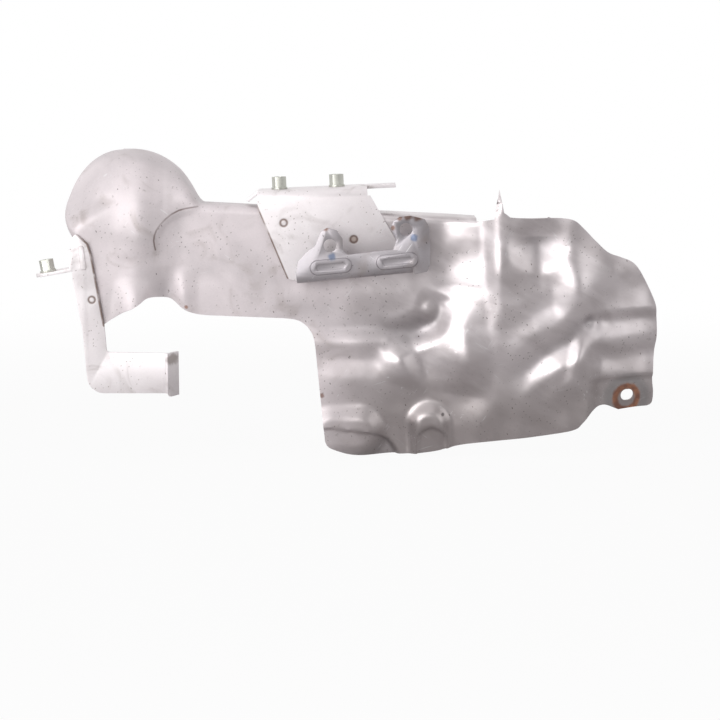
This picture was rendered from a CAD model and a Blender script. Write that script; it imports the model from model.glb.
"""Looks of a turbo heat shield: a pressed, dented sheet with welded brackets and nuts.

Sizes are in millimetres and angles in degrees, unless a docstring says otherwise. X runs to the right,
Y away from the viewer and Z up. Patterns count their cells by the metre and turn by radians.
"""

from __future__ import annotations

import logging
from dataclasses import dataclass, replace
from enum import Enum
from functools import reduce
from math import asin, cos, hypot, pi, radians, sin, sqrt

import bmesh
import bpy
import numpy as np
from mathutils import Matrix, Vector, noise

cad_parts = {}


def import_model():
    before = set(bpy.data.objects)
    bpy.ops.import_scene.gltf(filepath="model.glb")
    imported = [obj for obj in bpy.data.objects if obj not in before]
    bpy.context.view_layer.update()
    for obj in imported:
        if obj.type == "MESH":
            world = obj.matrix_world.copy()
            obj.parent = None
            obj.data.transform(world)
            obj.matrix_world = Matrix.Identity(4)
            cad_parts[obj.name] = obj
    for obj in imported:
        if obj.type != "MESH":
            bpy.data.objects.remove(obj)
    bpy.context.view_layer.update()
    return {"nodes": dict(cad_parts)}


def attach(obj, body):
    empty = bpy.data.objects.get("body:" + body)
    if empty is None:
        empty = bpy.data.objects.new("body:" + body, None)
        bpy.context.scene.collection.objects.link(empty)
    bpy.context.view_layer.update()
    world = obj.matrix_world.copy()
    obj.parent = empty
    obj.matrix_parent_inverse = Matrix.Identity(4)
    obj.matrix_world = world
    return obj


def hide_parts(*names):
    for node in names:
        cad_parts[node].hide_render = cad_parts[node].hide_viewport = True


MM = 0.001
BODY = "root"
HOLLOW = "hollow"
LOG = logging.getLogger("heat_shield")

Colour = tuple[float, float, float, float]
Place = tuple[float, float]
Triple = tuple[float, float, float]
Spot = tuple[float, float, float]


def smooth(t: float) -> float:
    """Eased step from 0 to 1."""
    t = max(0.0, min(1.0, t))
    return t * t * (3 - 2 * t)


def ease(value: float, span: Place) -> float:
    """Eased step over a span of a coordinate."""
    return smooth((value - span[0]) / (span[1] - span[0]))


def mix(a: float, b: float, t: float) -> float:
    """Value a share t of the way from a to b."""
    return a + (b - a) * t


def spaced(first: float, last: float, pitch: float) -> list[float]:
    """Even steps from first to last, about a pitch apart.

    Args:
        first: Start of the span.
        last: End of the span.
        pitch: Wished distance between steps.

    Returns:
        The steps, both ends included.
    """
    count = max(1, round((last - first) / pitch))
    return [mix(first, last, i / count) for i in range(count + 1)]


def flowing(points: list[tuple[float, ...]], pitch: float) -> list[tuple[float, ...]]:
    """Smooth curve through points, as a run of closer points.

    Args:
        points: Places that the curve passes.
        pitch: Wished distance between the points of the run.

    Returns:
        Points of the curve, both ends included.
    """
    ends = [points[0]] + points + [points[-1]]
    run = [points[0]]
    for before, start, end, after in zip(ends, ends[1:], ends[2:], ends[3:]):
        steps = max(1, round(hypot(end[0] - start[0], end[1] - start[1]) / pitch))
        for step in range(1, steps + 1):
            t = step / steps
            run.append(tuple(
                start[k] + 0.5 * t * (end[k] - before[k] + t * (
                    2 * before[k] - 5 * start[k] + 4 * end[k] - after[k]
                    + t * (3 * (start[k] - end[k]) + after[k] - before[k]))) for k in range(len(start))))
    return run


class Signal:
    """Output of a node that takes part in Python arithmetic."""

    def __init__(self, graph: Graph, node: bpy.types.Node, output: int | str) -> None:
        """Keep the node and the output that is read.

        Args:
            graph: Node tree of the node.
            node: The node.
            output: Name or number of the output.
        """
        self.graph = graph
        self.node = node
        self.socket = node.outputs[output]

    def of(self, output: int | str) -> Signal:
        """Another output of the same node."""
        return Signal(self.graph, self.node, output)

    def math(self, operation: str, *others: Signal | float, first: bool = True) -> Signal:
        """Math node on this signal.

        Args:
            operation: Name of the operation.
            others: The other operands.
            first: Whether this signal is the first operand.

        Returns:
            The result.
        """
        values = (self, *others) if first else (*others, self)
        return self.graph.add("ShaderNodeMath", {"operation": operation}, dict(enumerate(values)))

    def __add__(self, other: Signal | float) -> Signal:
        """Sum."""
        return self.math("ADD", other)

    def __sub__(self, other: Signal | float) -> Signal:
        """Difference."""
        return self.math("SUBTRACT", other)

    def __rsub__(self, other: Signal | float) -> Signal:
        """Difference from a number."""
        return self.math("SUBTRACT", other, first=False)

    def __mul__(self, other: Signal | float) -> Signal:
        """Product."""
        return self.math("MULTIPLY", other)

    def __truediv__(self, other: Signal | float) -> Signal:
        """Quotient."""
        return self.math("DIVIDE", other)

    def __pow__(self, other: Signal | float) -> Signal:
        """Power."""
        return self.math("POWER", other)

    __radd__ = __add__
    __rmul__ = __mul__

    def larger(self, other: Signal | float) -> Signal:
        """The larger of two values."""
        return self.math("MAXIMUM", other)

    def band(self, low: float, high: float) -> Signal:
        """Eased step that is 0 at low and 1 at high, which may be the smaller."""
        return self.graph.add("ShaderNodeMapRange", {"interpolation_type": "SMOOTHSTEP"},
                              {"Value": self, "From Min": low, "From Max": high}, "Result")


class Graph:
    """Node tree of a material or of the world."""

    FULL_SHARE = 0.4
    EDGE_CELLS = 220.0
    EDGE_DETAIL = 4.0

    def __init__(self, owner: bpy.types.Material | bpy.types.World, coordinates: str = "Object") -> None:
        """Empty the tree and read its coordinates.

        Args:
            owner: Material or world that has the tree.
            coordinates: Kind of texture coordinates that it reads.
        """
        owner.use_nodes = True
        self.owner = owner
        self.tree = owner.node_tree
        self.tree.nodes.clear()
        self.place = self.add("ShaderNodeTexCoord", output=coordinates)
        self.along = self.add("ShaderNodeSeparateXYZ", inputs={0: self.place})

    def add(self, kind: str, settings: dict | None = None, inputs: dict | None = None,
            output: int | str = 0) -> Signal | None:
        """Add any node.

        Args:
            kind: Type of the node.
            settings: Its properties, which are set first.
            inputs: Values or signals of its sockets, by name or number.
            output: Output that is read.

        Returns:
            The output as a signal, or None for a node that has none.
        """
        node = self.tree.nodes.new(kind)
        for key, value in (settings or {}).items():
            setattr(node, key, value)
        for key, value in (inputs or {}).items():
            if isinstance(value, Signal):
                self.tree.links.new(value.socket, node.inputs[key])
            else:
                node.inputs[key].default_value = value
        return Signal(self, node, output) if node.outputs else None

    def stretched(self, cells: Triple, turn: float) -> Signal:
        """Object coordinates turned about Y, then scaled to a number of cells a metre along each axis."""
        sizes = tuple(1 / count for count in cells)
        return self.add("ShaderNodeMapping", {"vector_type": "TEXTURE"}, {
            "Vector": self.place, "Rotation": (0.0, turn, 0.0), "Scale": sizes})

    def noise(self, cells: float, detail: float, place: Signal | None = None,
              distortion: float = 0.0) -> Signal:
        """Noise between 0 and 1 with a number of cells a metre."""
        return self.add("ShaderNodeTexNoise", inputs={
            "Vector": place or self.place, "Scale": cells, "Detail": detail, "Distortion": distortion})

    def scattered(self, place: Signal) -> Signal:
        """Distance to the nearest of scattered points, one in each cell of the place."""
        return self.add("ShaderNodeTexVoronoi", inputs={"Vector": place, "Scale": 1.0}, output="Distance")

    def blend(self, share: Signal | float, a: Signal | Colour, b: Signal | Colour) -> Signal:
        """Colour a share of the way from a to b."""
        return self.add("ShaderNodeMix", {"data_type": "RGBA"}, {0: share, 6: a, 7: b}, 2)

    def near(self, x: float, z: float, radius: float, ragged: float = 0.0,
             full: float = FULL_SHARE) -> Signal:
        """Mask around a place on the front, seen along Y.

        Args:
            x: Place in millimetres.
            z: Place in millimetres.
            radius: Reach of the mask in millimetres.
            ragged: Share of the radius by which its edge wanders.
            full: Share of the radius within which the mask is full.

        Returns:
            1 at the place, 0 beyond the radius.
        """
        across = self.along - x * MM
        up = self.along.of("Z") - z * MM
        distance = (across * across + up * up) ** 0.5
        if ragged:
            wander = self.noise(self.EDGE_CELLS, self.EDGE_DETAIL) - 0.5
            distance = distance + wander * (2 * ragged * radius * MM)
        return distance.band(radius * MM, full * radius * MM)

    def spots(self, places: tuple[Spot, ...], ragged: float) -> Signal:
        """Mask of several places, with ragged edges."""
        return reduce(Signal.larger, [self.near(x, z, radius, ragged) for x, z, radius in places])

    def drawn(self, points: list[Place], width: float) -> Signal:
        """Mask along a line on the front, seen along Y.

        Args:
            points: Places that the line passes, in millimetres.
            width: Half of its width in millimetres.

        Returns:
            1 on the line, 0 beyond its width.
        """
        stretches = []
        for start, end in zip(points, points[1:]):
            run_x, run_z = (end[0] - start[0]) * MM, (end[1] - start[1]) * MM
            across = self.along - start[0] * MM
            up = self.along.of("Z") - start[1] * MM
            share = (across * run_x + up * run_z) / (run_x * run_x + run_z * run_z)
            share = share.larger(0.0).math("MINIMUM", 1.0)
            off_x = across - share * run_x
            off_z = up - share * run_z
            distance = (off_x * off_x + off_z * off_z) ** 0.5
            stretches.append(distance.band(width * MM, self.FULL_SHARE * width * MM))
        return reduce(Signal.larger, stretches)

    def surface(self, colour: Signal, roughness: Signal, metallic: Signal | float, height: Signal,
                depth: float) -> bpy.types.Material:
        """Finish the material with a metal shader.

        Args:
            colour: Base colour.
            roughness: Roughness.
            metallic: Share of bare metal.
            height: Relief between 0 and 1.
            depth: Depth of the relief in millimetres.

        Returns:
            The material.
        """
        normal = self.add("ShaderNodeBump", inputs={
            "Strength": 1.0, "Distance": depth * MM, "Height": height}, output="Normal")
        shader = self.add("ShaderNodeBsdfPrincipled", inputs={
            "Base Color": colour, "Roughness": roughness, "Metallic": metallic, "Normal": normal})
        self.add("ShaderNodeOutputMaterial", inputs={"Surface": shader})
        return self.owner


@dataclass(frozen=True)
class Cloud:
    """A noise pattern: cells a metre, detail, and the values between which its mask rises.

    A stretched cloud has one cell in each cell of its stretch, which is turned about Y.
    """

    cells: float
    detail: float
    low: float = 0.0
    high: float = 1.0
    distortion: float = 0.0
    stretch: Triple | None = None
    turn: float = 0.0

    def plain(self, graph: Graph) -> Signal:
        """The noise itself, between 0 and 1."""
        place = graph.stretched(self.stretch, self.turn) if self.stretch else None
        return graph.noise(self.cells, self.detail, place, self.distortion)

    def mask(self, graph: Graph) -> Signal:
        """Mask of the denser places."""
        return self.plain(graph).band(self.low, self.high)


@dataclass(frozen=True)
class Pits:
    """Scattered pits: cells a metre along each axis, turn, reach and full share in a cell, and weight."""

    cells: Triple
    turn: float
    reach: float
    full: float
    weight: float

    def mask(self, graph: Graph) -> Signal:
        """Mask of the pits, times their weight."""
        distance = graph.scattered(graph.stretched(self.cells, self.turn))
        return distance.band(self.reach, self.full) * self.weight


class Wear(Enum):
    """How hard a surface was used: share of specks and of scratches."""

    LIGHT = (0.35, 0.4)
    HARD = (1.0, 1.0)

    @property
    def specks(self) -> float:
        """Share of the specks and of the film."""
        return self.value[0]

    @property
    def scratches(self) -> float:
        """Share of the scratches."""
        return self.value[1]


@dataclass(frozen=True)
class MetalFinish:
    """Worn bare metal: a mottled base under a thin film, with dark specks and scratches."""

    name: str
    base: Colour
    shade: Colour
    speck: Colour
    roughness: float
    spread: float
    wear: Wear
    film: Colour = (0.34, 0.29, 0.27, 1.0)
    film_share: float = 0.5
    cloud_share: float = 0.7
    dirt_share: float = 0.3
    scratch_share: float = 0.5
    speck_roughness: float = 0.2
    speck_depth: float = 0.5

    BASE_CLOUD = Cloud(24.0, 5.0, 0.3, 0.72, distortion=0.6)
    BASE_GRAIN = Cloud(900.0, 2.0)
    FILM_CLOUD = Cloud(42.0, 6.0, 0.52, 0.78, distortion=1.2)
    PIT_CROWD = Cloud(38.0, 2.0, 0.42, 0.62)
    FINE_PITS = Pits((430.0, 430.0, 300.0), 0.7, 0.2, 0.08, 0.6)
    LARGE_PITS = Pits((190.0, 190.0, 80.0), -0.4, 0.085, 0.03, 0.8)
    DIRT = Cloud(330.0, 5.0, 0.63, 0.74)
    DIRT_PLACES = Cloud(16.0, 3.0, 0.45, 0.7)
    SCRATCH_LINES = Cloud(1.0, 2.0, 0.65, 0.72)
    SCRATCH_PLACES = Cloud(1.0, 1.0, 0.57, 0.66, stretch=(60.0, 60.0, 40.0))
    SCRATCH_STRETCHES = {0.6: (900.0, 900.0, 40.0), -0.9: (900.0, 900.0, 55.0), 1.3: (900.0, 900.0, 45.0)}

    def mottled(self, graph: Graph) -> tuple[Signal, Signal]:
        """Cloudy base colour and its mask.

        Args:
            graph: Node tree of the material.

        Returns:
            The colour, and the mask of its lighter places.
        """
        mask = (self.BASE_CLOUD.mask(graph) * self.cloud_share
                + self.BASE_GRAIN.plain(graph) * (1 - self.cloud_share))
        film = self.FILM_CLOUD.mask(graph) * (self.wear.specks * self.film_share)
        return graph.blend(film, graph.blend(mask, self.shade, self.base), self.film), mask

    def specks(self, graph: Graph) -> Signal:
        """Mask of small dark pits of two sizes and of dirt, thicker in some places.

        Args:
            graph: Node tree of the material.

        Returns:
            The mask.
        """
        fine = self.FINE_PITS.mask(graph) * self.PIT_CROWD.mask(graph)
        dirt = self.DIRT.mask(graph) * self.DIRT_PLACES.mask(graph) * self.dirt_share
        return (fine + self.LARGE_PITS.mask(graph) + dirt) * self.wear.specks

    def scratches(self, graph: Graph) -> Signal:
        """Mask of thin scratches in three directions.

        Args:
            graph: Node tree of the material.

        Returns:
            The mask.
        """
        sets = []
        for turn, stretch in self.SCRATCH_STRETCHES.items():
            lines = replace(self.SCRATCH_LINES, stretch=stretch, turn=turn)
            places = replace(self.SCRATCH_PLACES, turn=turn)
            sets.append(lines.mask(graph) * places.mask(graph))
        return reduce(Signal.__add__, sets) * self.wear.scratches


@dataclass(frozen=True)
class SheetFinish(MetalFinish):
    """Aluminised sheet: matte at the domed end and brighter on the panel, with rust and soot."""

    panel: Colour = (0.76, 0.71, 0.72, 1.0)
    panel_shade: Colour = (0.58, 0.535, 0.54, 1.0)
    panel_roughness: float = 0.4
    panel_span: Place = (-45.0, 25.0)
    heat_tint: Colour = (0.33, 0.295, 0.285, 1.0)
    heat_span: Place = (-70.0, -120.0)
    heat_share: float = 0.8
    heat_least: float = 0.5
    matte_metal: float = 0.35
    scratch_tint: Colour = (0.8, 0.79, 0.8, 1.0)
    scratch_depth: float = 0.3
    grime: Colour = (0.2, 0.19, 0.2, 1.0)
    grime_share: float = 0.55
    grime_least: float = 0.4
    grime_roughness: float = 0.15
    arc: tuple[Place, ...] = ((-109.0, 18.2), (-120.8, 15.9), (-129.2, 10.6), (-135.1, 3.4),
                              (-136.9, -3.2), (-136.1, -9.2))
    arc_pitch: float = 4.0
    arc_width: float = 0.7
    arc_share: Place = (0.35, 0.8)
    arc_tint: Colour = (0.16, 0.11, 0.1, 1.0)
    rust: Colour = (0.16, 0.055, 0.025, 1.0)
    rust_light: Colour = (0.3, 0.12, 0.055, 1.0)
    rust_share: float = 0.9
    rust_roughness: float = 0.85
    rust_depth: float = 0.8
    rust_spots: tuple[Spot, ...] = ((-117.2, -46.5, 1.5), (-30.2, -105.0, 2.4))
    rust_spot_share: float = 0.8
    rust_spot_ragged: float = 0.5
    tab_centre: Place = (171.5, -110.0)
    tab_ring: Place = (11.2, 6.8)
    tab_ring_full: Place = (0.8, 0.7)
    tab_bare_share: float = 0.85
    tab_patch_reach: float = 1.7
    tab_patch_full: float = 0.7
    tab_patch_share: float = 0.6
    tab_ragged: float = 0.1
    tab_grey: Colour = (0.33, 0.32, 0.32, 1.0)
    soot: Colour = (0.045, 0.04, 0.04, 1.0)
    soot_share: float = 0.7
    soot_ragged: float = 0.3
    soot_spots: tuple[Spot, ...] = ((48.9, -117.2, 1.6),)
    fine_grain: float = 0.12
    coarse_grain: float = 0.8
    depth: float = 0.08

    STREAKS = Cloud(1.0, 4.0, 0.3, 0.7, distortion=0.4, stretch=(26.0, 26.0, 70.0), turn=0.5)
    HEAT_CLOUD = Cloud(18.0, 3.0)
    GRIME_CLOUD = Cloud(70.0, 4.0)
    ARC_CLOUD = Cloud(60.0, 3.0, 0.35, 0.6)
    RUST_CLOUD = Cloud(160.0, 5.0, 0.35, 0.65)
    RUST_GRAIN = Cloud(400.0, 4.0)
    FINE_GRAIN = Cloud(500.0, 2.0)
    COARSE_GRAIN = Cloud(110.0, 3.0)

    def panel_colour(self, graph: Graph) -> Signal:
        """Streaked colour of the panel, darker below where it was hot.

        Args:
            graph: Node tree of the material.

        Returns:
            The colour.
        """
        panel = graph.blend(self.STREAKS.mask(graph), self.panel_shade, self.panel)
        low, high = self.heat_span
        uneven = self.heat_least + (1 - self.heat_least) * self.HEAT_CLOUD.plain(graph)
        heat = graph.along.of("Z").band(low * MM, high * MM) * uneven
        return graph.blend(heat * self.heat_share, panel, self.heat_tint)

    def arc_mask(self, graph: Graph) -> Signal:
        """Mask of the thin dark line of the dome's front, stronger in some places.

        Args:
            graph: Node tree of the material.

        Returns:
            The mask.
        """
        line = graph.drawn(flowing(list(self.arc), self.arc_pitch), self.arc_width)
        least, most = self.arc_share
        return line * (least + self.ARC_CLOUD.mask(graph) * (most - least))

    def rust_mask(self, graph: Graph) -> Signal:
        """Mask of the rust spots and of the rust ring around the tab's hole.

        Args:
            graph: Node tree of the material.

        Returns:
            The mask.
        """
        outer, inner = [graph.near(*self.tab_centre, radius, self.tab_ragged, full)
                        for radius, full in zip(self.tab_ring, self.tab_ring_full)]
        spots = graph.spots(self.rust_spots, self.rust_spot_ragged) * self.rust_spot_share
        return spots.larger(outer - inner * self.tab_bare_share)

    def material(self) -> bpy.types.Material:
        """Material of the pressed sheet.

        Returns:
            The material, with its rust, soot and grime.
        """
        graph = Graph(bpy.data.materials.new(self.name))
        low, high = self.panel_span
        bright = graph.along.band(low * MM, high * MM)
        matte, mask = self.mottled(graph)
        hollow = graph.add("ShaderNodeAttribute", {"attribute_name": HOLLOW}, output="Fac")
        grime = hollow * (self.grime_least + (1 - self.grime_least) * self.GRIME_CLOUD.plain(graph))
        specks = self.specks(graph)
        scratches = self.scratches(graph)
        rust = self.rust_mask(graph)
        rust_tone = graph.blend(self.RUST_CLOUD.mask(graph), self.rust, self.rust_light)
        patch = graph.near(*self.tab_centre, self.tab_patch_reach * self.tab_ring[0], self.tab_ragged,
                           self.tab_patch_full)
        soot = graph.spots(self.soot_spots, self.soot_ragged)
        colour = graph.blend(bright, matte, self.panel_colour(graph))
        for share, tint in (
                (grime * self.grime_share, self.grime), (specks, self.speck),
                (scratches * self.scratch_share, self.scratch_tint), (self.arc_mask(graph), self.arc_tint),
                (patch * self.tab_patch_share, self.tab_grey), (rust * self.rust_share, rust_tone),
                (soot * self.soot_share, self.soot)):
            colour = graph.blend(share, colour, tint)
        rough = (self.roughness + (self.panel_roughness - self.roughness) * bright
                 + (mask - 0.5) * self.spread + specks * self.speck_roughness + grime * self.grime_roughness)
        rough = rough + (self.rust_roughness - rough) * rust
        height = (self.FINE_GRAIN.plain(graph) * self.fine_grain
                  + self.COARSE_GRAIN.plain(graph) * self.coarse_grain
                  - specks * self.speck_depth - scratches * self.scratch_depth
                  + rust * self.RUST_GRAIN.plain(graph) * self.rust_depth)
        metal = (self.matte_metal + (1 - self.matte_metal) * bright) * (1.0 - rust * self.rust_share)
        return graph.surface(colour, rough, metal, height, self.depth)


@dataclass(frozen=True)
class BracketFinish(MetalFinish):
    """Satin steel plate with stains, spot welds and burnt edges at chosen places."""

    stains: tuple[tuple[Spot, Colour], ...] = ()
    stain_share: float = 0.75
    stain_ragged: float = 0.5
    welds: tuple[Spot, ...] = ()
    weld_reach: float = 1.7
    weld_core: float = 1.1
    weld_full: float = 0.65
    weld_depth: float = 4.0
    edges: tuple[tuple[Place, ...], ...] = ()
    edge_width: float = 1.3
    burnt: Colour = (0.15, 0.085, 0.06, 1.0)
    burnt_share: float = 0.85
    scratch_tint: Colour = (0.85, 0.85, 0.86, 1.0)
    scratch_depth: float = 0.4
    metal: float = 0.4
    fine_grain: float = 0.5
    coarse_grain: float = 0.5
    depth: float = 0.04

    EDGE_CLOUD = Cloud(90.0, 3.0, 0.25, 0.5)
    FINE_GRAIN = Cloud(700.0, 3.0)
    COARSE_GRAIN = Cloud(150.0, 3.0)

    def material(self) -> bpy.types.Material:
        """Material of a bracket or a nut.

        Returns:
            The material, with its stains, edges and welds.
        """
        graph = Graph(bpy.data.materials.new(self.name))
        colour, mask = self.mottled(graph)
        specks = self.specks(graph)
        scratches = self.scratches(graph)
        colour = graph.blend(specks, colour, self.speck)
        colour = graph.blend(scratches * self.scratch_share, colour, self.scratch_tint)
        for (x, z, radius), stain in self.stains:
            spot = graph.near(x, z, radius, self.stain_ragged)
            colour = graph.blend(spot * self.stain_share, colour, stain)
        for line in self.edges:
            worn = graph.drawn(list(line), self.edge_width) * self.EDGE_CLOUD.mask(graph)
            colour = graph.blend(worn * self.burnt_share, colour, self.burnt)
        rough = self.roughness + (mask - 0.5) * self.spread + specks * self.speck_roughness
        height = (self.FINE_GRAIN.plain(graph) * self.fine_grain
                  + self.COARSE_GRAIN.plain(graph) * self.coarse_grain
                  - specks * self.speck_depth - scratches * self.scratch_depth)
        for x, z, radius in self.welds:
            ring = (graph.near(x, z, self.weld_reach * radius, full=self.weld_full)
                    - graph.near(x, z, self.weld_core * radius))
            colour = graph.blend(ring * self.burnt_share, colour, self.burnt)
            height = height - ring * self.weld_depth
        return graph.surface(colour, rough, self.metal, height, self.depth)


def finished(name: str, bm: bmesh.types.BMesh, material: bpy.types.Material,
             sharp: float) -> bpy.types.Object:
    """Turn a bmesh into a piece of the object.

    Args:
        name: Name of the piece.
        bm: Its shape in metres, freed here.
        material: Its finish.
        sharp: Angle in degrees past which an edge stays sharp.

    Returns:
        The piece, riding on the object's one body.
    """
    mesh = bpy.data.meshes.new(name)
    bm.to_mesh(mesh)
    bm.free()
    mesh.polygons.foreach_set("use_smooth", [True] * len(mesh.polygons))
    mesh.set_sharp_from_angle(angle=radians(sharp))
    mesh.materials.append(material)
    piece = bpy.data.objects.new(name, mesh)
    bpy.context.scene.collection.objects.link(piece)
    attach(piece, BODY)
    LOG.info("%s: %d faces", name, len(mesh.polygons))
    return piece


@dataclass
class Crease:
    """One fold of the sheet: a curved crest, or the bottom of a valley, with a flank on each side."""

    line: list[Triple]
    left_width: float
    right_width: float
    crest_round: float = 0.3
    foot_round: float = 0.6
    pitch: float = 4.0

    def __post_init__(self) -> None:
        """Smooth the crest and note how far the fold reaches."""
        self.run = flowing(self.line, self.pitch)
        reach = max(self.left_width, self.right_width)
        self.low = [min(point[k] for point in self.run) - reach for k in (0, 1)]
        self.high = [max(point[k] for point in self.run) + reach for k in (0, 1)]

    def flank(self, share: float) -> float:
        """Profile across: 1 on the rounded crest, straight down the flank, 0 at the rounded foot.

        Args:
            share: Distance from the crest as a share of the flank's width.

        Returns:
            Share of the fold's height.
        """
        rounded = hypot(min(1.0, share), self.crest_round) - self.crest_round
        left = 1 - rounded / (hypot(1.0, self.crest_round) - self.crest_round)
        return left * left * (1 + self.foot_round) / (left + self.foot_round)

    def height(self, x: float, z: float) -> float:
        """Height of the fold at a place, towards the viewer.

        Args:
            x: Place along X.
            z: Height.

        Returns:
            The height, 0 away from the fold.
        """
        if not (self.low[0] < x < self.high[0] and self.low[1] < z < self.high[1]):
            return 0.0
        nearest, height = None, 0.0
        for (xa, za, ha), (xb, zb, hb) in zip(self.run, self.run[1:]):
            dx, dz = xb - xa, zb - za
            t = max(0.0, min(1.0, ((x - xa) * dx + (z - za) * dz) / (dx * dx + dz * dz)))
            off_x, off_z = x - xa - t * dx, z - za - t * dz
            distance = hypot(off_x, off_z)
            if nearest is None or distance < nearest:
                nearest = distance
                width = self.left_width if dx * off_z > dz * off_x else self.right_width
                height = mix(ha, hb, t) * self.flank(distance / width)
        return height


@dataclass
class Shell:
    """The pressed sheet: a blank cut into a fine net, laid over the pressed form and thickened."""

    # The sheet, and the depths that it reaches along Y.
    sheet: float = 0.8
    seat_y: float = 18.0
    dome_wall_y: float = 12.0
    back_edge_y: float = 60.0
    cut_back_y: float = 55.0
    # The dome at the left end.
    crown_x: float = -160.5
    crown_z: float = 53.0
    crown_r: float = 5.0
    dome_left: float = 39.5
    dome_right: float = 47.0
    dome_depth: float = 39.0
    dome_spring_z: float = 2.0
    dome_blend_x: Place = (-138.0, -106.0)
    wall_blend_x: Place = (-150.0, -118.0)
    # The corner and the side wall left of the dome.
    corner_x: float = -154.5
    corner_r: float = 7.0
    corner_top_z: float = 24.0
    corner_span: float = 74.0
    left_wall_x: float = -187.0
    left_wall_z: float = -9.0
    left_wall_lean: float = 0.12
    left_blend: float = 30.0
    # The folded top edge.
    fold_r: float = 5.0
    flange: float = 22.0
    flange_end_x: float = 69.5
    flange_start: Place = (-98.0, 18.3)
    flange_fall: float = 0.0535
    corner_soften: float = 8.0
    # The panel at the right end.
    panel_top_rise: float = 34.0
    panel_top_x: Place = (69.5, 86.0)
    panel_bulge: float = 7.0
    panel_bulge_x: Place = (45.0, 85.0)
    panel_sweep: float = 26.0
    panel_sweep_x: Place = (128.0, 190.0)
    panel_roll: float = 7.0
    panel_roll_z: Place = (-60.0, -145.0)
    recess_x: Place = (142.0, 154.0)
    # The tab and its slot.
    tab_set_back: float = 3.0
    tab_z: Place = (-97.5, -94.0)
    tab_hole: Place = (172.0, -108.0)
    tab_hole_size: Place = (9.0, 7.5)
    tab_hole_sides: int = 28
    tab_hole_room: float = 8.25
    # The net of the blank, and the tolerances of its cuts.
    net: float = 1.5
    snap: float = 1e-5
    back_snap: float = 1e-4
    weld: float = 0.02
    upper_span: float = 80.0
    # Unevenness of the pressed sheet.
    hollow_depth: float = 5.0
    crumple: float = 0.2
    crumple_length: float = 16.0
    crumple_fine_length: float = 7.0
    crumple_fine_share: float = 0.5
    wave: float = 1.7
    wave_length: float = 23.0
    wave_low_x: Place = (-50.0, -30.0)
    wave_low_z: Place = (-40.0, -60.0)
    wave_x: Place = (30.0, 55.0)
    front_point: Triple = (-80.0, 18.0, -20.0)
    sharp_angle: float = 50.0

    # Stretches of the cut edge, seen from the front.
    LOWER_LEFT = [(-181.5, -60.3), (-178, -60)]
    DOME_FOOT = [(-169.5, -57), (-159, -50), (-150.5, -46.5), (-146, -43.5), (-141, -40.2), (-130, -40.5),
                 (-125, -42.8), (-119, -48), (-111.5, -51), (-104, -52)]
    INNER_CORNER = [(-54.5, -54), (-44.5, -55.8), (-37.2, -62), (-34.5, -69), (-33.5, -78)]
    PANEL_FOOT = [(-28, -136), (-25.5, -140.5), (-17, -144.5), (-9, -146.3), (2, -146.3), (14.5, -145),
                  (41.5, -143), (66.5, -137), (106, -132), (133, -127.5), (140, -123), (146, -116.8),
                  (151, -113.7), (156, -113.2), (160, -114.6)]
    TAB_FOOT = [(166, -117.5), (186, -116.5)]
    PANEL_RIGHT = [(186, -116.5), (189.3, -114.5), (190, -107), (189, -95), (190.5, -66), (189.5, -50),
                   (186.5, -41), (181.5, -31), (176.5, -23), (171.5, -18.4), (164, -15.2), (155, -11.5),
                   (146, -3.5), (137.5, 5), (131.5, 9.8), (122.5, 11.3), (106.5, 11), (96, 11.5), (90.5, 12)]
    POINT = [(86.5, 15), (85.3, 21), (83.5, 29.5), (82, 21), (80.5, 10.5), (69.5, 9)]
    # Steps of the panel's right end: span along Z, and depth.
    RECESS = [((-49.0, -56.0), 4.0), ((-57.0, -68.0), -2.6), ((-69.0, -79.0), 4.2), ((-81.0, -93.0), -2.2)]
    # Folds: points of the crest with its height, then the width to the left and right.
    CREASES = {
        "centre valley": Crease([(49, -38, 0), (46, -46, -4), (42, -57, -6), (32, -64, -5.5),
                                 (20, -69, -3.5), (9, -72, 0)], 12, 16),
        "centre ridge": Crease([(62, -34, 0), (61, -46, 4), (59, -60, 6), (62, -76, 7), (62, -87, 5),
                                (60, -104, 0)], 20, 27),
        "lower centre ridge": Crease([(13, -69, 0), (19, -79, 4), (25, -90, 4), (33, -107, 0)], 13, 15),
        "step": Crease([(83, 12, 4), (84, -5, 5), (86, -33, 4.5), (88, -60, 0)], 26, 12),
        "pinch valley": Crease([(144, -54, -3), (131, -68, -4.5), (114, -77, -4), (101, -88, -2.5),
                                (88, -97, 0)], 14, 15),
        "pinch ridge": Crease([(141, -66, 0), (130, -79, 2), (113, -88, 1.6), (97, -103, 0)], 12, 26),
        "right ridge": Crease([(127, -8, 0), (135, -24, 4.5), (138, -40, 5.5), (141, -57, 0)], 26, 20),
        "thin ridge": Crease([(139, -62, 0), (137, -78, 3.5), (134, -92, 2.5), (131, -102, 0)], 9, 8),
        "shallow valley": Crease([(84, -60, 0), (104, -52, -2), (123, -42, 0)], 12, 12),
        "under valley": Crease([(-38, -59, -1.5), (0, -60, -3.5), (24, -60, -3), (40, -56, 0)], 24, 10),
        "upper ripple": Crease([(-44, -70, 1.5), (-10, -70.5, 2.2), (14, -70, 0)], 11, 11),
        "lower ripple": Crease([(-40, -92, 1), (-12, -93, 2.2), (10, -95, 0)], 12, 15),
        "dome channel": Crease([(-132, -20, 0), (-131, -36, -3.5), (-130, -50, -4)], 13, 13),
        "channel ridge": Crease([(-119, -20, 0), (-119, -38, 2.5), (-117, -54, 0)], 10, 10),
        "flare ridge": Crease([(-146, -28, 0), (-147, -40, 3), (-148, -52, 3)], 9, 18),
        "dome arc": Crease([(-106, 19, 0), (-123, 13.5, 1), (-132, 7, 1.4), (-136, -1, 1.4),
                            (-134, -12, 0)], 3.5, 26),
    }
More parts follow.
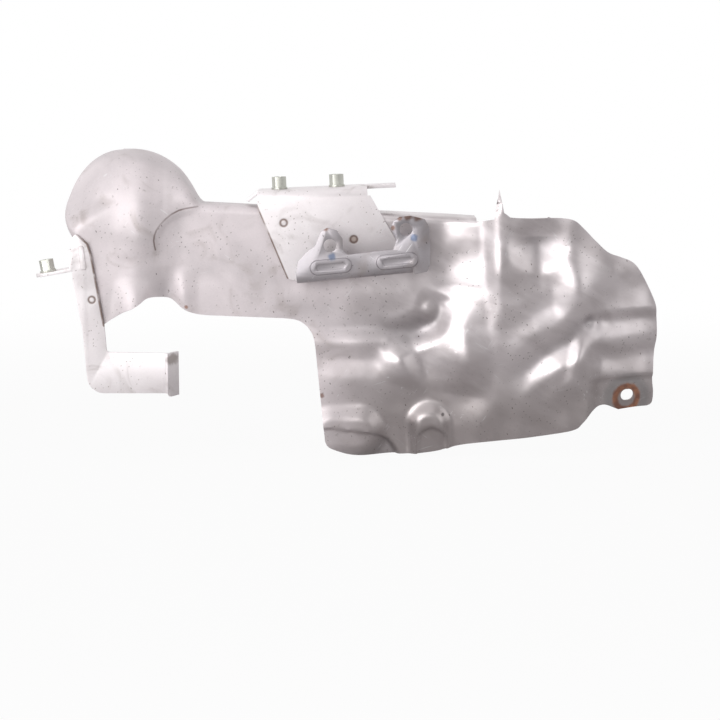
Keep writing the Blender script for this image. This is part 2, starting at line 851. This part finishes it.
    # Bosses: both ends of the middle line, inner and outer reach, and height.
    BOSSES = {
        "left boss": ((-22, -130), (-6, -130), 8, 20, 6.0),
        "left boss pad": ((-26, -148), (-1, -151), 19.5, 22.5, -4.8),
        "right boss": ((40, -124), (42, -150), 6, 16, 7.0),
        "right boss pad": ((42, -135.5), (42, -150), 8.0, 10.8, -4.5),
    }
    # Dents and bulges: centre, half widths, and height.
    DENTS = {
        "upper hollow": (109, -5, 22, 21, -6),
        "valley bump": (40, -49, 8, 9, 2.2),
        "lower left flare": (-152, -56, 15, 42, 3),
        "pinch": (143, -56, 6, 7, -3),
        "panel belly": (100, -64, 36, 26, 2),
        "dome front": (-145, 6, 22, 26, 2),
    }

    def relief(self, x: float, z: float) -> float:
        """Height of creases and dents at a point, towards the viewer.

        Args:
            x: Place along X.
            z: Height.

        Returns:
            The height.
        """
        height = sum(crease.height(x, z) for crease in self.CREASES.values())
        for centre_x, centre_z, half_x, half_z, depth in self.DENTS.values():
            height += depth * (1 - smooth(hypot((x - centre_x) / half_x, (z - centre_z) / half_z)))
        for (xa, za), (xb, zb), inner, outer, rise in self.BOSSES.values():
            along = ((x - xa) * (xb - xa) + (z - za) * (zb - za)) / ((xb - xa) ** 2 + (zb - za) ** 2)
            along = max(0.0, min(1.0, along))
            away = hypot(x - mix(xa, xb, along), z - mix(za, zb, along))
            height += rise * (1 - ease(away, (inner, outer)))
        return height

    def wall_y(self, x: float, z: float) -> float:
        """Depth of the sheet's front face where it faces the viewer.

        Args:
            x: Place along X.
            z: Height.

        Returns:
            Place along Y.
        """
        y = mix(self.dome_wall_y, self.seat_y, ease(x, self.wall_blend_x))
        y += self.panel_sweep * ease(x, self.panel_sweep_x) - self.panel_bulge * ease(x, self.panel_bulge_x)
        bands = sum(depth * ease(z, span) for span, depth in self.RECESS)
        y += ease(x, self.recess_x) * (bands + self.tab_set_back * (1 - ease(z, self.tab_z)))
        low, high = self.panel_roll_z
        y += self.panel_roll * max(0.0, (z - low) / (high - low)) ** 2
        return y - self.relief(x, z)

    def wave_share(self, x: float, z: float) -> float:
        """Share of the panel's uneven waves at a place: none where the brackets sit."""
        below = ease(x, self.wave_low_x) * ease(z, self.wave_low_z)
        return max(below, ease(x, self.wave_x))

    def top_z(self, x: float) -> float:
        """Height of the upper edge: the dome's arch where it stands above the folded edge.

        Args:
            x: Place along X.

        Returns:
            Place along Z, softened where the two meet.
        """
        across = min(1.0, (x - self.corner_x) / self.dome_right)
        arch = self.crown_z * sqrt(1 - across * across)
        edge = (self.flange_start[1] - self.flange_fall * (x - self.flange_start[0])
                + self.panel_top_rise * ease(x, self.panel_top_x))
        return (arch + edge + hypot(arch - edge, self.corner_soften)) / 2

    def shoulder(self, x: float) -> tuple[float, float, float, float, float]:
        """Start height, rise, depth and length of the rounded shoulder, and the lip behind it.

        Args:
            x: Place along X.

        Returns:
            The five lengths, in that order.
        """
        flat = ease(x, self.dome_blend_x)
        start = mix(self.dome_spring_z, self.top_z(x) - self.fold_r, flat)
        rise = self.top_z(x) - start
        depth = mix(self.dome_depth, self.fold_r, flat)
        lip = mix(self.back_edge_y - self.dome_wall_y - self.dome_depth, self.flange, flat)
        return start, rise, depth, pi / 2 * sqrt((rise * rise + depth * depth) / 2), lip

    def left_edge_x(self, z: float) -> float:
        """Leftmost reach at a height: the dome's arch, or the wall behind the strap.

        Args:
            z: Height.

        Returns:
            Place along X.
        """
        up = max(0.0, min(1.0, z / self.crown_z))
        arch = self.crown_x - self.dome_left * sqrt(1 - up * up)
        wall = self.left_wall_x + self.left_wall_lean * (self.left_wall_z - z)
        return mix(wall, arch, smooth((z - self.left_wall_z) / self.left_blend))

    def corner_runs(self, z: float, back: float) -> tuple[float, float, float, float]:
        """Lengths of the straight, the arc and the side round the left corner, and the arc's radius.

        Args:
            z: Height.
            back: Depth of the shoulder there.

        Returns:
            The four lengths, in that order.
        """
        radius = mix(self.corner_r, self.dome_depth + self.crown_r - back, smooth(z / self.corner_top_z))
        straight = self.corner_x - self.left_edge_x(z) - radius
        side = self.back_edge_y - self.dome_wall_y - back - radius
        return straight, pi / 2 * radius, side, radius

    def corner_path(self, share: float, z: float, back: float) -> Place:
        """Plan position a share of the way round the left corner.

        Args:
            share: Share of the way, from the front to the back edge.
            z: Height.
            back: Depth of the shoulder there.

        Returns:
            Place along X and Y.
        """
        straight, arc, side, radius = self.corner_runs(z, back)
        centre_x = self.corner_x - straight
        front_y = self.dome_wall_y + back
        run = share * (straight + arc + side)
        if run < straight:
            return self.corner_x - run, front_y
        if run < straight + arc:
            angle = (run - straight) / radius
            return centre_x - radius * sin(angle), front_y + radius * (1 - cos(angle))
        return centre_x - radius, front_y + radius + run - straight - arc

    def pressed_point(self, u: float, v: float) -> Triple:
        """Point of the sheet's front face.

        Args:
            u: Place along X, running on round the left corner below corner_x.
            v: Place along Z on the wall, running on over the shoulder and the lip above 0.

        Returns:
            The point in millimetres.
        """
        x = max(u, self.corner_x)
        start, rise, depth, length, lip = self.shoulder(x)
        travel = v if v < 0 else v / self.upper_span * (start + length + lip)
        turn = max(0.0, min(1.0, (travel - start) / length)) * pi / 2
        z = min(travel, start) + rise * sin(turn)
        back = depth * (1 - cos(turn))
        lip_run = max(0.0, travel - start - length)
        if u >= self.corner_x:
            return x, self.wall_y(x, min(travel, start)) + back + lip_run, z
        share = (self.corner_x - u) / self.corner_span
        round_x, round_y = self.corner_path(share, z, back)
        if lip_run > 0:
            round_x = mix(round_x, self.corner_x - share * self.crown_r, lip_run / lip)
            round_y = mix(round_y, self.back_edge_y, lip_run / lip)
        else:
            round_y += self.wall_y(round_x, min(travel, start)) - self.dome_wall_y
        return round_x, round_y, z

    def on_blank(self, point: Place) -> Place:
        """Place of a point of the cut edge, seen from the front, on the flat blank.

        Args:
            point: The point along X and Z.

        Returns:
            The place along the blank's two directions.
        """
        x, z = point
        if z > 0:
            start, rise, _, length, lip = self.shoulder(x)
            travel = z if z < start else start + length * asin(min(1.0, (z - start) / rise)) / (pi / 2)
            return x, self.upper_span * travel / (start + length + lip)
        if x >= self.corner_x:
            return x, z
        straight, arc, side, _ = self.corner_runs(z, 0.0)
        return self.corner_x - self.corner_span * (self.corner_x - x) / (straight + arc + side), z

    def blank_edge(self) -> list[Place]:
        """Cut edge of the flat blank, anticlockwise from the lower left.

        Returns:
            Its corners on the blank.
        """
        edge = flowing(self.DOME_FOOT, self.net) + flowing(self.INNER_CORNER, self.net)
        edge += flowing(self.PANEL_FOOT, self.net) + self.TAB_FOOT
        edge += flowing(self.PANEL_RIGHT, self.net)[1:] + self.POINT
        blank = [self.on_blank(point) for point in edge]
        left = self.corner_x - self.corner_span
        corner = [(left, self.LOWER_LEFT[0][1])] + [self.on_blank(point) for point in self.LOWER_LEFT]
        return corner + blank + [(self.flange_end_x, self.upper_span), (left, self.upper_span)]

    def cut(self, bm: bmesh.types.BMesh, faces: list[bmesh.types.BMFace], at: Vector,
            across: Vector) -> None:
        """Cut faces along a plane."""
        geometry = list({*faces, *(e for f in faces for e in f.edges), *(v for f in faces for v in f.verts)})
        bmesh.ops.bisect_plane(bm, geom=geometry, dist=self.snap, plane_co=at, plane_no=across)

    def pierce(self, bm: bmesh.types.BMesh) -> None:
        """Cut the tab's hole as a many-sided slot out of the net.

        Args:
            bm: The blank's net.
        """
        hole = Vector((self.tab_hole[0], 0.0, self.tab_hole[1]))
        length, width = self.tab_hole_size
        radius, half = width / 2, (length - width) / 2
        for side in range(self.tab_hole_sides):
            angle = 2 * pi * side / self.tab_hole_sides
            out = Vector((cos(angle), 0.0, sin(angle)))
            centre = hole + Vector((half if out.x > 0 else -half, 0.0, 0.0))
            near = [f for f in bm.faces if (f.calc_center_median() - hole).length < self.tab_hole_room]
            self.cut(bm, near, centre + out * radius, out)
        inside = [f for f in bm.faces if self.in_hole(f.calc_center_median(), radius, half)]
        bmesh.ops.delete(bm, geom=inside, context="FACES")

    def in_hole(self, point: Vector, radius: float, half: float) -> bool:
        """Whether a point of the blank lies in the tab's hole.

        Args:
            point: The point.
            radius: Radius of the slot's ends.
            half: Half of the distance between the centres of its ends.

        Returns:
            True inside the slot.
        """
        along = max(0.0, abs(point.x - self.tab_hole[0]) - half)
        return hypot(along, point.z - self.tab_hole[1]) < radius

    def netted(self) -> bmesh.types.BMesh:
        """Flat blank, cut into a net, with the tab's hole.

        Returns:
            The blank in millimetres.
        """
        bm = bmesh.new()
        edge = self.blank_edge()
        bm.faces.new([bm.verts.new((u, 0.0, v)) for u, v in edge])
        low = min(v for _, v in edge)
        left, right = min(u for u, _ in edge), max(u for u, _ in edge)
        for u in spaced(left, self.corner_x, self.net) + spaced(self.corner_x, right, self.net):
            self.cut(bm, bm.faces[:], Vector((u, 0, 0)), Vector((1, 0, 0)))
        for v in spaced(low, 0.0, self.net) + spaced(0.0, self.upper_span, self.net):
            self.cut(bm, bm.faces[:], Vector((0, 0, v)), Vector((0, 0, 1)))
        self.pierce(bm)
        bmesh.ops.remove_doubles(bm, verts=bm.verts, dist=self.weld)
        return bm

    def press(self, bm: bmesh.types.BMesh) -> None:
        """Lay the blank over the pressed form, and note its hollows for the finish.

        Args:
            bm: The blank's net in millimetres, left in metres.
        """
        hollow = bm.verts.layers.float.new(HOLLOW)
        for vert in bm.verts:
            x, y, z = self.pressed_point(vert.co.x, vert.co.z)
            if x > self.corner_x and vert.co.z < 0:
                vert[hollow] = max(0.0, min(1.0, -self.relief(x, z) / self.hollow_depth))
            point = Vector((x, y, z))
            rough = (noise.noise(point / self.crumple_length)
                     + self.crumple_fine_share * noise.noise(point / self.crumple_fine_length))
            waves = noise.noise(Vector((x, 0, z)) / self.wave_length) * self.wave_share(x, z)
            vert.co = (point + Vector((0, self.crumple * rough + self.wave * waves, 0))) * MM

    def build(self, material: bpy.types.Material) -> bpy.types.Object:
        """Cut, press and thicken the sheet.

        Args:
            material: Its finish.

        Returns:
            The piece that stands for the sheet's solid.
        """
        bm = self.netted()
        self.press(bm)
        bmesh.ops.bisect_plane(bm, geom=bm.verts[:] + bm.edges[:] + bm.faces[:], dist=self.back_snap * MM,
                               plane_co=(0, self.cut_back_y * MM, 0), plane_no=(0, 1, 0), clear_outer=True)
        for face in bm.faces:
            face.normal_update()
        front = Vector(self.front_point) * MM
        middle = min(bm.faces, key=lambda face: (face.calc_center_median() - front).length)
        if middle.normal.y > 0:
            bmesh.ops.reverse_faces(bm, faces=bm.faces[:])
        bmesh.ops.solidify(bm, geom=bm.faces[:], thickness=self.sheet * MM)
        piece = finished("pressed_shell", bm, material, self.sharp_angle)
        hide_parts("main_shell")
        return piece


@dataclass
class Plate:
    """A bracket or nut: the CAD solid's own form with its edges worn round."""

    node: str
    piece: str
    slot: str
    edge: float = 0.35
    segments: int = 2
    flat_angle: float = 2.0
    sharp_angle: float = 28.0
    shade_angle: float = 45.0
    weld: float = 0.001

    def build(self, source: bpy.types.Object, material: bpy.types.Material) -> bpy.types.Object:
        """Round the edges of a copy of the solid.

        Args:
            source: The CAD node.
            material: The piece's finish.

        Returns:
            The piece that stands for the node.
        """
        bm = bmesh.new()
        bm.from_mesh(source.data)
        bmesh.ops.remove_doubles(bm, verts=bm.verts, dist=self.weld * MM)
        bmesh.ops.dissolve_limit(bm, angle_limit=radians(self.flat_angle), verts=bm.verts, edges=bm.edges)
        sharp = [e for e in bm.edges if e.is_manifold and e.calc_face_angle() > radians(self.sharp_angle)]
        bmesh.ops.bevel(bm, geom=sharp, offset=self.edge * MM, offset_type="OFFSET", affect="EDGES",
                        segments=self.segments, profile=0.5, material=-1, clamp_overlap=True)
        piece = finished(self.piece, bm, material, self.shade_angle)
        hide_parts(self.node)
        return piece


@dataclass(frozen=True)
class Lamp:
    """Large soft lamp: place and size in metres, power in watts."""

    name: str
    place: Triple
    size: Place
    power: float

    def build(self, target: Vector) -> None:
        """Hang the lamp and aim it at a target.

        Args:
            target: Place that it shines at, in metres.
        """
        data = bpy.data.lights.new(self.name, "AREA")
        data.shape = "ELLIPSE"
        data.size, data.size_y = self.size
        data.energy = self.power
        lamp = bpy.data.objects.new(self.name, data)
        aim = target - Vector(self.place)
        turn = aim.to_track_quat("-Z", "Y").to_matrix().to_4x4()
        lamp.matrix_world = Matrix.Translation(self.place) @ turn
        bpy.context.scene.collection.objects.link(lamp)


@dataclass
class Studio:
    """Pale floor and backdrop, soft lamps and the camera.

    The floor's half width, its fade and the camera's clipping are in metres.
    """

    target: Triple = (-5.05, 20.0, -81.65)
    distance: float = 1200.0
    elevation: float = 9.0
    lens: float = 92.3
    sensor: float = 36.0
    clip: Place = (0.01, 50.0)
    floor_z: float = -147.5
    floor_half: float = 4.0
    floor_tint: Colour = (0.5, 0.49, 0.49, 1.0)
    floor_white: float = 0.94
    floor_fade: Place = (0.3, 0.9)
    white: Colour = (1.0, 1.0, 1.0, 1.0)
    room_dark: Colour = (0.08, 0.075, 0.075, 1.0)
    room_light: Colour = (1.0, 0.99, 1.0, 1.0)
    room_left: Place = (0.3, -0.45)
    room_left_share: float = 0.5
    room_up: Place = (-0.4, 0.25)
    room_up_share: float = 0.42
    room_back: Place = (-0.1, 0.5)

    LAMPS = (
        Lamp("left_box", (-1.2, -1.7, 0.5), (1.9, 1.7), 27.0),
        Lamp("top_box", (0.1, -0.6, 1.6), (1.5, 0.9), 2.0),
        Lamp("right_box", (1.6, -1.0, 0.5), (1.5, 1.7), 5.0),
    )

    def floor(self) -> None:
        """Pale floor, nearly white to the camera, that keeps a little of the object's shadow."""
        bm = bmesh.new()
        bmesh.ops.create_grid(bm, x_segments=2, y_segments=2, size=self.floor_half)
        bmesh.ops.translate(bm, verts=bm.verts, vec=(0, 0, self.floor_z * MM))
        mesh = bpy.data.meshes.new("floor")
        bm.to_mesh(mesh)
        bm.free()
        graph = Graph(bpy.data.materials.new("floor_pale"))
        rays = graph.add("ShaderNodeLightPath", output="Is Camera Ray")
        matte = graph.add("ShaderNodeBsdfDiffuse", inputs={"Color": self.floor_tint})
        white = graph.add("ShaderNodeEmission", inputs={"Color": self.white})
        across, ahead = graph.along, graph.along.of("Y")
        far = ((across * across + ahead * ahead) ** 0.5).band(*self.floor_fade)
        share = rays * (self.floor_white + (1 - self.floor_white) * far)
        shader = graph.add("ShaderNodeMixShader", inputs={0: share, 1: matte, 2: white})
        graph.add("ShaderNodeOutputMaterial", inputs={"Surface": shader})
        mesh.materials.append(graph.owner)
        floor = bpy.data.objects.new("floor", mesh)
        bpy.context.scene.collection.objects.link(floor)

    def world(self) -> None:
        """White behind the object, and a grey room on the camera's side for reflections."""
        world = bpy.data.worlds.new("studio")
        bpy.context.scene.world = world
        graph = Graph(world, "Generated")
        light = (graph.along.band(*self.room_left) * self.room_left_share
                 + graph.along.of("Z").band(*self.room_up) * self.room_up_share)
        room = graph.blend(light, self.room_dark, self.room_light)
        rays = graph.add("ShaderNodeLightPath", output="Is Camera Ray")
        back = graph.along.of("Y").band(*self.room_back) * rays.of("Is Glossy Ray")
        colour = graph.blend(rays.larger(back), room, self.white)
        shader = graph.add("ShaderNodeBackground", inputs={"Color": colour, "Strength": 1.0})
        graph.add("ShaderNodeOutputWorld", inputs={"Surface": shader})

    def camera(self) -> None:
        """Camera at the photograph's angle."""
        tilt = radians(self.elevation)
        ahead = Vector((0.0, cos(tilt), -sin(tilt)))
        data = bpy.data.cameras.new("camera")
        data.lens = self.lens
        data.sensor_width = self.sensor
        data.clip_start, data.clip_end = self.clip
        camera = bpy.data.objects.new("camera", data)
        camera.location = (Vector(self.target) - ahead * self.distance) * MM
        camera.rotation_euler = (pi / 2 - tilt, 0.0, 0.0)
        bpy.context.scene.collection.objects.link(camera)
        bpy.context.scene.camera = camera

    def build(self) -> None:
        """Set the stage."""
        self.floor()
        self.world()
        self.camera()
        for lamp in self.LAMPS:
            lamp.build(Vector(self.target) * MM)
        bpy.context.scene.view_settings.view_transform = "Standard"


RUST = (0.14, 0.06, 0.03, 1.0)
BLUE = (0.12, 0.17, 0.28, 1.0)
BROWN = (0.5, 0.39, 0.33, 1.0)
DULL_BROWN = (0.3, 0.25, 0.23, 1.0)
SHEET = SheetFinish(
    "aluminised_sheet", base=(0.76, 0.695, 0.71, 1.0), shade=(0.55, 0.505, 0.515, 1.0),
    speck=(0.1, 0.075, 0.065, 1.0), roughness=0.5, spread=0.14, wear=Wear.HARD)
STEEL = BracketFinish(
    "bracket_steel", base=(0.93, 0.89, 0.9, 1.0), shade=(0.76, 0.71, 0.72, 1.0),
    speck=(0.2, 0.15, 0.13, 1.0), roughness=0.48, spread=0.15, wear=Wear.HARD,
    stains=(((-9.0, -2.7, 3.4), BROWN), ((-126.5, -80.0, 5.0), DULL_BROWN)),
    welds=((-53.9, 7.8, 2.0), (-9.0, -2.7, 2.0), (-177.0, -41.0, 1.9)),
    edges=(((-185.5, 1.2), (-179.0, -5.0), (-177.0, -11.5), (-169.5, -57.5)),
           ((-71.5, 19.0), (-52.0, -28.0))))
ZINC = BracketFinish(
    "zinc_plate", base=(0.52, 0.49, 0.51, 1.0), shade=(0.34, 0.32, 0.34, 1.0),
    speck=(0.09, 0.08, 0.08, 1.0), roughness=0.38, spread=0.2, wear=Wear.HARD, metal=0.8,
    stains=(((-23.0, -12.2, 3.2), BLUE), ((29.0, -0.5, 3.2), BLUE), ((31.5, 13.2, 4.0), RUST),
            ((25.0, 14.0, 4.0), RUST), ((20.0, 12.5, 3.0), RUST), ((15.5, 6.0, 2.5), RUST),
            ((-26.5, 6.0, 3.0), RUST)))
NUT = BracketFinish(
    "nut_steel", base=(0.62, 0.63, 0.57, 1.0), shade=(0.44, 0.44, 0.4, 1.0),
    speck=(0.1, 0.08, 0.07, 1.0), roughness=0.36, spread=0.2, wear=Wear.LIGHT, metal=0.8)

PLATES = (
    (Plate("strap_bracket", "strap", "bracket_steel"), STEEL),
    (Plate("top_bracket", "top_plate", "bracket_steel"), STEEL),
    (Plate("ear_bracket", "ear_plate", "zinc_plated_steel"), ZINC),
    (Plate("weld_nuts", "welded_nuts", "nut_steel", edge=0.25), NUT),
)


def main() -> None:
    """Build the shield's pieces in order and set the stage."""
    logging.basicConfig(level=logging.INFO)
    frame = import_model()
    Shell().build(SHEET.material())
    finishes = {}
    for plate, finish in PLATES:
        if finish.name not in finishes:
            finishes[finish.name] = finish.material()
        plate.build(frame["nodes"][plate.node], finishes[finish.name])
    Studio().build()


if __name__ == "__main__":
    main()
